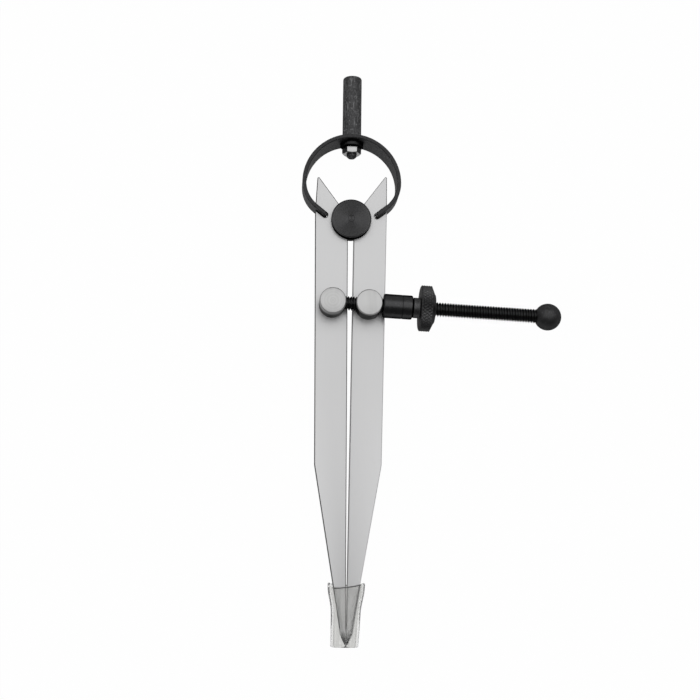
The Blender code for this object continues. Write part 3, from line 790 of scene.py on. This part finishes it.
class DIVIDER_OT_handle(Operator):
    """The turning stem with its threaded tenon, and the crown washer and nut"""

    bl_idname = "divider.handle"
    bl_label = "Handle"

    def execute(self, context):
        self.stem()
        self.washer()
        self.nut()
        return {"FINISHED"}

    def stem(self):
        radius, rounding = 0.00285, 0.0006
        tenon, chamfer = 0.0015, 0.0005
        base = SPRING_CROWN + PLAY
        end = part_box("handle_stem")[0].y
        profile = [
            (0.0, STEM_TOP),
            *arc((radius - rounding, STEM_TOP - rounding), rounding, 90, 0, 6),
            (radius, base),
            (tenon, base),
            (tenon, end + chamfer),
            (tenon - chamfer, end),
            (0.0, end),
        ]
        stem = turned("turning_stem", profile)
        settle(stem, up_the_tool(0.0))
        smooth(stem)
        finish = black_oxide(
            "stem_black_oxide",
            depth=1.05, rough=0.6, edge=0.45, light=5.0, flecks=0.7, scratches=0.9, grain=0.4,
        )
        dress(stem, finish)
        hand_over(stem, "handle", "black_oxide", "handle_stem")

    def washer(self):
        hole, radius = 0.0016, 0.0035
        low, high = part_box("crown_washer")
        ring = [(hole, high.y), (radius, high.y), (radius, low.y), (hole, low.y)]
        washer = turned("crown_flat_washer", ring, closed=True)
        soften_edges(washer, 0.00008)
        settle(washer, up_the_tool(0.0))
        smooth(washer)
        dress(washer, black_oxide("washer_black_oxide", depth=0.7, rough=0.4))
        hand_over(washer, "handle", "black_oxide", "crown_washer")

    def nut(self):
        """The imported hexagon, drawn a little narrower across."""
        narrower = 0.92
        nut = merged_copy("crown_nut", "crown_hexagon_nut")
        open_mesh(nut)
        bpy.ops.mesh.select_all(action="SELECT")
        bpy.ops.transform.resize(
            value=(narrower, 1.0, narrower), center_override=(0.0, 0.0, LEG_MIDDLE)
        )
        close_mesh()
        soften_edges(nut, 0.00012, angle=40.0)
        smooth(nut, 25.0)
        dress(nut, ringed_steel("nut_turned_steel", Vector(), 0.10, 0.0, 0.3))
        hand_over(nut, "handle", "turned_steel", "crown_nut")


class DIVIDER_OT_studs(Operator):
    """The two swivel studs with their cross holes and washers"""

    bl_idname = "divider.studs"
    bl_label = "Studs"

    def execute(self, context):
        # Side, middle, body, strength of its tool rings and crossed marks, and the tone of the painted
        # sheen on its flank
        studs = (
            ("left", LEFT_STUD, "screw", 0.3, 0.4, 0.60),
            ("right", RIGHT_STUD, "right_stud", 0.0, 0.8, 0.12),
        )
        for side, centre, body, rings, cross, sheen_tone in studs:
            place = Matrix.Translation((centre.x, centre.y, 0.0))
            finish = ringed_steel(f"{side}_stud_turned_steel", centre, 0.32, rings, cross)
            flank = dark_flank_painted_sheen(f"{side}_stud_flank", sheen_tone)
            stud = self.stud(side, place)
            dress(stud, finish, flank, self.on_flank)
            hand_over(stud, body, "turned_steel", f"{side}_stud")
            washer = self.washer(side, place)
            dress(washer, finish)
            hand_over(washer, body, "turned_steel", f"{side}_stud_washer")
        return {"FINISHED"}

    def stud(self, side, place):
        """A head with a cross hole, a spigot through the leg, and a riveted end behind the washer."""
        radius, chamfer, spigot = 0.0039, 0.0003, 0.0020
        rivet, rivet_end = 0.0027, 0.00235
        front = LEG_FRONT + 0.0068
        rivet_top, rivet_bottom = LEG_BACK - PLAY - 0.0008, LEG_BACK - PLAY - 0.0013
        profile = [
            (0.0, front),
            (radius - chamfer, front),
            (radius, front - chamfer),
            (radius, LEG_FRONT + PLAY),
            (spigot, LEG_FRONT + PLAY),
            (spigot, rivet_top),
            (rivet, rivet_top),
            (rivet_end, rivet_bottom),
            (0.0, rivet_bottom),
        ]
        stud = turned(f"{side}_swivel_stud", profile)
        settle(stud, place)
        self.cross_hole(stud, side)
        soften_edges(stud, 0.00005, angle=40.0)
        smooth(stud)
        return stud

    def cross_hole(self, stud, side):
        """Close and part of the way on the left; wide and right through where the screw slides."""
        if side == "left":
            bore(stud, 0.002185, 0.0088, on_screw(0.0) @ Matrix.Translation((0.0, 0.0, 0.0015)))
        else:
            half_width = 0.0029
            place = on_screw((RIGHT_STUD - LEFT_STUD).length)
            bore(stud, half_width, 0.012, place, BORE_RADIUS / half_width)

    def on_flank(self, middle, normal):
        return abs(normal.z) < 0.5 and LEG_FRONT < middle.z

    def washer(self, side, place):
        hole, radius, thickness = 0.0021, 0.0034, 0.0007
        top = LEG_BACK - PLAY
        ring = [(hole, top), (radius, top), (radius, top - thickness), (hole, top - thickness)]
        washer = turned(f"{side}_stud_rear_washer", ring, 64, closed=True)
        settle(washer, place)
        soften_edges(washer, 0.00008)
        smooth(washer)
        return washer


class DIVIDER_OT_screw(Operator):
    """The adjusting screw with its helical thread, and the ball on its end"""

    bl_idname = "divider.screw"
    bl_label = "Adjusting screw"

    def execute(self, context):
        self.thread()
        self.ball()
        return {"FINISHED"}

    def thread(self):
        """One turn of the thread's outline, wound up the screw and cut off square at both ends."""
        pitch = sizes().thread_pitch
        crest = 0.002085
        root = crest - sizes().thread_depth
        end = BALL_MIDDLE - 0.0033
        turns = int((end - THREAD_START) / pitch) + 3
        # Radius, and share of the pitch
        outline = ((root, 0.0), (root, 0.06), (crest, 0.42), (crest, 0.58), (root, 0.94), (root, 1.0))
        profile = [(radius, share * pitch) for radius, share in outline]
        thread = drawn("screw_thread", profile, THREAD_START - 1.5 * pitch)
        close_mesh()
        add_modifier(
            thread,
            "SCREW",
            angle=math.tau,
            screw_offset=pitch,
            iterations=turns,
            steps=28,
            render_steps=28,
            use_merge_vertices=True,
            merge_threshold=0.000004,
        )
        open_mesh(thread)
        for height, outward in ((THREAD_START, -1.0), (end, 1.0)):
            bpy.ops.mesh.select_all(action="SELECT")
            bpy.ops.mesh.bisect(
                plane_co=(0, 0, height), plane_no=(0, 0, outward), use_fill=True, clear_outer=True
            )
        bpy.ops.mesh.select_all(action="SELECT")
        bpy.ops.mesh.normals_make_consistent(inside=False)
        close_mesh()
        settle(thread, on_screw(0.0))
        smooth(thread, 30.0)
        dress(thread, black_oxide("screw_black_oxide", depth=1.15, rough=0.3, edge=0.1, grain=0.2))
        hand_over(thread, "screw", "black_oxide", "adjusting_screw")

    def ball(self):
        """A ball with a flat seat, sunk a little into the thread's end."""
        radius, neck, chamfer, sunk = 0.003969, 0.0019, 0.0003, 0.0004
        seat_angle = math.degrees(math.asin(neck / radius))
        profile = arc((0.0, 0.0), radius, 90, -90 + seat_angle, 30)
        profile[0] = (0.0, radius)
        seat = profile[-1][1] + sunk
        profile += [(neck - chamfer, seat), (0.0, seat)]
        ball = turned("screw_ball", profile)
        settle(ball, on_screw(BALL_MIDDLE))
        smooth(ball)
        dress(ball, black_oxide("ball_black_oxide", depth=1.35, rough=0.50, edge=0.4, grain=0.2))
        hand_over(ball, "screw", "black_oxide", "adjusting_screw")


class DIVIDER_OT_sleeve(Operator):
    """The plain thrust sleeve with its thin ring"""

    bl_idname = "divider.sleeve"
    bl_label = "Thrust sleeve"

    def execute(self, context):
        outer, length, rounding, chamfer = 0.00355, 0.0086, 0.0005, 0.0003
        groove, groove_top, groove_bottom = outer - 0.0001, 0.0057, 0.0054
        profile = [
            (BORE_RADIUS, length),
            *arc((outer - rounding, length - rounding), rounding, 90, 0, 5),
            (outer, groove_top),
            (groove, groove_top - 0.00008),
            (groove, groove_bottom + 0.00008),
            (outer, groove_bottom),
            (outer, chamfer),
            (outer - chamfer, 0.0),
            (BORE_RADIUS, 0.0),
        ]
        sleeve = turned("plain_sleeve", profile, closed=True)
        settle(sleeve, on_screw(SLEEVE_START))
        smooth(sleeve)
        finish = black_oxide("sleeve_black_oxide", depth=1.35, rough=0.3, flecks=0.2, grain=0.15)
        dress(sleeve, finish)
        hand_over(sleeve, "sleeve", "black_oxide", "thrust_sleeve")
        return {"FINISHED"}


class DIVIDER_OT_nut(Operator):
    """The adjusting nut: hub, diamond-knurled rim and coned outer face"""

    bl_idname = "divider.nut"
    bl_label = "Adjusting nut"

    def execute(self, context):
        rim, columns = 0.0068, 84
        rows = sizes().knurl_rows
        root = rim - sizes().knurl_depth
        low_end, high_end = 0.0023, 0.0051
        outer_face, hub = 0.0040, 0.0035
        profile = [
            (BORE_RADIUS, 0.0064),
            (outer_face, 0.0064),
            *arc((outer_face, 0.0060), 0.0004, 90, 28, 3),
            (rim - 0.0003, 0.00522),
            *((root, high_end + (low_end - high_end) * i / rows) for i in range(rows + 1)),
            (rim - 0.0004, 0.0020),
            (hub, 0.0020),
            *arc((hub, 0.0015), 0.0005, 90, 180, 4)[1:],
            (0.0030, 0.00015),
            (0.00285, 0.0),
            (BORE_RADIUS, 0.0),
        ]
        nut = turned("knurled_nut", profile, columns, closed=True)
        self.knurl(nut, rim, root, low_end, high_end, columns)
        settle(nut, on_screw(NUT_START))
        smooth(nut, 12.0)
        dress(nut, black_oxide("nut_black_oxide", depth=1.9, rough=0.40, edge=0.35, grain=0.2))
        hand_over(nut, "nut", "black_oxide", "adjusting_nut")
        return {"FINISHED"}

    def knurl(self, nut, rim, root, low_end, high_end, columns):
        """Lifts every other point of the rim to a crest, and splits the faces between them."""
        rows = sizes().knurl_rows
        pitch = math.tau / columns

        def on_crest(point, normal):
            across = (high_end - point.z) / (high_end - low_end) * rows
            if abs(point.xy.length - root) > 0.00002 or not -0.1 < across < rows + 0.1:
                return False
            around = math.atan2(point.y, point.x) / pitch
            return (round(across) + round(around)) % 2 == 0

        def on_rim(middle, normal):
            return middle.xy.length > root - 0.00005 and low_end < middle.z < high_end

        open_mesh(nut)
        pick(nut, on_crest)
        grow = rim / root
        bpy.ops.transform.resize(
            value=(grow, grow, 1.0), orient_type="GLOBAL", center_override=(0.0, 0.0, 0.0)
        )
        bpy.ops.mesh.select_mode(type="FACE")
        bpy.ops.mesh.select_all(action="DESELECT")
        pick(nut, on_rim)
        bpy.ops.mesh.quads_convert_to_tris(quad_method="SHORTEST_DIAGONAL", ngon_method="BEAUTY")
        close_mesh()


class DIVIDER_OT_guard(Operator):
    """The soft clear tube over the points, flared and wavy at its mouth"""

    bl_idname = "divider.guard"
    bl_label = "Tip guard"

    length = 0.0172
    mouth_y = POINTS_Y - 0.000198 + length

    def execute(self, context):
        rest()
        bpy.ops.mesh.primitive_cylinder_add(
            vertices=72, radius=0.0033, depth=self.length, end_fill_type="NOTHING"
        )
        guard = bpy.context.object
        guard.name = "vinyl_guard"
        guard.data.name = "vinyl_guard"
        open_mesh(guard, "EDGE")
        pick(guard, lambda middle, angle: abs(middle.z) < self.length / 4)
        bpy.ops.mesh.subdivide(number_cuts=27)
        close_mesh()
        for vert in guard.data.vertices:
            vert.co = self.formed(vert.co)
        add_modifier(guard, "SOLIDIFY", thickness=sizes().guard_wall, offset=1.0, use_even_offset=True)
        soften_edges(guard, 0.00028, segments=2, angle=50.0)
        smooth(guard, 60.0)
        dress(guard, clear_vinyl("guard_clear_vinyl"), painted_shade_rim_vinyl("guard_rim_painted_shade"), self.on_mouth)
        hand_over(guard, "guard", "clear_vinyl", "tip_guard")
        return {"FINISHED"}

    def formed(self, point):
        """Where a point of the plain tube goes: flat at the mouth, waisted, and round at the foot."""
        # Half width and half depth at three places, and the waist's share of the length
        mouth, waist, foot = (0.00465, 0.0019), (0.0036, 0.0024), (0.0033, 0.0033)
        waist_share, wavy_share = 0.42, 0.3
        corner_lift, front_dip, slant, ripple, lean = 0.0006, 0.0005, 0.0006, 0.00012, 0.0004
        share = 0.5 - point.z / self.length
        angle = math.atan2(point.y, point.x)
        if share < waist_share:
            eased = share / waist_share
            before, after = mouth, waist
        else:
            eased = (share - waist_share) / (1.0 - waist_share)
            before, after = waist, foot
        eased = eased * eased * (3.0 - 2.0 * eased)
        half_x = before[0] + (after[0] - before[0]) * eased
        half_z = before[1] + (after[1] - before[1]) * eased
        power = 2.0 / (5.0 - 3.0 * share)
        c, s = math.cos(angle), math.sin(angle)
        x = half_x * math.copysign(abs(c) ** power, c)
        z = -half_z * math.copysign(abs(s) ** power, s)
        near_mouth = max(1.0 - share / wavy_share, 0.0) ** 1.5
        front = max(z / half_z, 0.0)
        lift = corner_lift * abs(x / half_x) ** 4 - front_dip * front + slant * x / half_x * front
        sag = ripple * math.sin(3.0 * angle + 9.0 * share) * (1.0 - share)
        y = self.mouth_y - self.length * share + lift * near_mouth
        return (x - lean * share**2 + sag * abs(c), y, LEG_MIDDLE + z)

    def on_mouth(self, middle, normal):
        return middle.y > self.mouth_y - 0.002 and normal.y > 0.3 and abs(middle.x) < 0.0041


# Studio


def softbox(name, size, place, aim, strength):
    """A rectangular lamp that looks at a point; its strength is the light's own brightness."""
    lamp = bpy.data.lights.new(name, "AREA")
    lamp.shape = "RECTANGLE"
    lamp.size = size[0]
    lamp.size_y = size[1]
    lamp.energy = strength * size[0] * size[1] * math.pi
    holder = bpy.data.objects.new(name, lamp)
    bpy.context.scene.collection.objects.link(holder)
    look = Vector(aim) - Vector(place)
    holder.location = place
    holder.rotation_euler = look.to_track_quat("-Z", "Y").to_euler()


class DIVIDER_OT_stage(Operator):
    """White floor, soft lamp, world light, and the camera at the photograph's angle"""

    bl_idname = "divider.stage"
    bl_label = "Studio"

    def execute(self, context):
        self.floor()
        self.world()
        aim = (0.0, -0.035, LEG_FRONT)
        softbox("main_softbox", (3.2, 1.6), (0.0, 0.33, 1.56), aim, 0.88)
        self.camera()
        return {"FINISHED"}

    def floor(self):
        """Paper that the camera and the vinyl see as white, and that metal sees a third as bright."""
        rest()
        bpy.ops.mesh.primitive_plane_add(size=6.0, location=(0.0, -0.04, LOWEST))
        floor = bpy.context.object
        floor.name = "studio_floor"
        paper = Finish("floor_paper", Base_Color=(0.80, 0.80, 0.80, 1.0), Roughness=0.9)
        off_metal = paper.ray("Glossy") * 0.35
        glowing = paper.calculate("MAXIMUM", paper.seen(), off_metal) * 0.985
        glow = paper.node("ShaderNodeEmission", None, {"Color": (1.0, 1.0, 1.0, 1.0)})
        lit = Wire(paper, paper.shader.outputs[0])
        mixed = paper.node("ShaderNodeMixShader", None, {0: glowing, 1: lit, 2: glow})
        paper.tree.links.new(mixed.socket, paper.tree.nodes["Material Output"].inputs["Surface"])
        floor.data.materials.append(paper.material)

    def world(self):
        """A soft light that is stronger from the stem's side, and white where it is seen."""
        world = bpy.data.worlds.new("studio_world")
        bpy.context.scene.world = world
        world.use_nodes = True
        sky = Nodes(world.node_tree)
        background = sky.tree.nodes["Background"]
        forward = sky.coordinate(sky.node("ShaderNodeTexCoord", output="Generated"), "Y")
        glow = sky.steps(forward, -0.5, 0.6, 0.13, 0.50)
        strength = glow + (1 - glow) * sky.seen()
        sky.tree.links.new(strength.socket, background.inputs["Strength"])
        background.inputs["Color"].default_value = (1.0, 1.0, 1.0, 1.0)

    def camera(self):
        """The fitted camera: 350 mm away, turned 3.4 degrees, tilted 9.9, rolled 0.7."""
        photo_width, focal_pixels, distance = 700.0, 1184.886, 0.35
        aim = Vector((0.00025, -0.0392, 0.003))
        turn, tilt, roll = math.radians(-3.3565), math.radians(-9.9374), math.radians(0.7009)
        back = Vector(
            (math.sin(turn) * math.cos(tilt), math.sin(tilt), math.cos(turn) * math.cos(tilt))
        )
        right = (-back).cross(Vector((0.0, 1.0, 0.0))).normalized()
        up = right.cross(-back)
        side = right * math.cos(roll) + up * math.sin(roll)
        top = up * math.cos(roll) - right * math.sin(roll)
        camera = bpy.data.cameras.new("photo_camera")
        camera.sensor_width = 36.0
        camera.lens = focal_pixels / photo_width * 36.0
        camera.clip_start = 0.01
        holder = bpy.data.objects.new("photo_camera", camera)
        bpy.context.scene.collection.objects.link(holder)
        axes = Matrix((side, top, back)).transposed().to_4x4()
        holder.matrix_world = Matrix.Translation(aim + back * distance) @ axes
        bpy.context.scene.camera = holder
        bpy.context.scene.view_settings.view_transform = "Standard"


PIECES = (
    DIVIDER_OT_legs,
    DIVIDER_OT_fulcrum,
    DIVIDER_OT_bow_spring,
    DIVIDER_OT_handle,
    DIVIDER_OT_studs,
    DIVIDER_OT_screw,
    DIVIDER_OT_sleeve,
    DIVIDER_OT_nut,
    DIVIDER_OT_guard,
    DIVIDER_OT_stage,
)


class DIVIDER_PT_panel(Panel):
    """Lists the divider's pieces, sizes and finishes"""

    bl_idname = "DIVIDER_PT_panel"
    bl_label = "Wing divider"
    bl_space_type = "VIEW_3D"
    bl_region_type = "UI"
    bl_category = "Wing divider"

    def draw(self, context):
        layout = self.layout
        for group in (context.scene.divider_sizes, context.scene.divider_finishes):
            box = layout.box()
            for name in group.__annotations__:
                box.prop(group, name)
        for operator in PIECES:
            layout.operator(operator.bl_idname)


CLASSES = (DividerSizes, DividerFinishes, *PIECES, DIVIDER_PT_panel)


def register():
    for cls in CLASSES:
        bpy.utils.register_class(cls)
    bpy.types.Scene.divider_sizes = PointerProperty(type=DividerSizes)
    bpy.types.Scene.divider_finishes = PointerProperty(type=DividerFinishes)


def unregister():
    del bpy.types.Scene.divider_finishes
    del bpy.types.Scene.divider_sizes
    for cls in reversed(CLASSES):
        bpy.utils.unregister_class(cls)


def main():
    register()
    bpy.ops.divider.legs()
    bpy.ops.divider.fulcrum()
    bpy.ops.divider.bow_spring()
    bpy.ops.divider.handle()
    bpy.ops.divider.studs()
    bpy.ops.divider.screw()
    bpy.ops.divider.sleeve()
    bpy.ops.divider.nut()
    bpy.ops.divider.guard()
    bpy.ops.divider.stage()


if __name__ == "__main__":
    main()
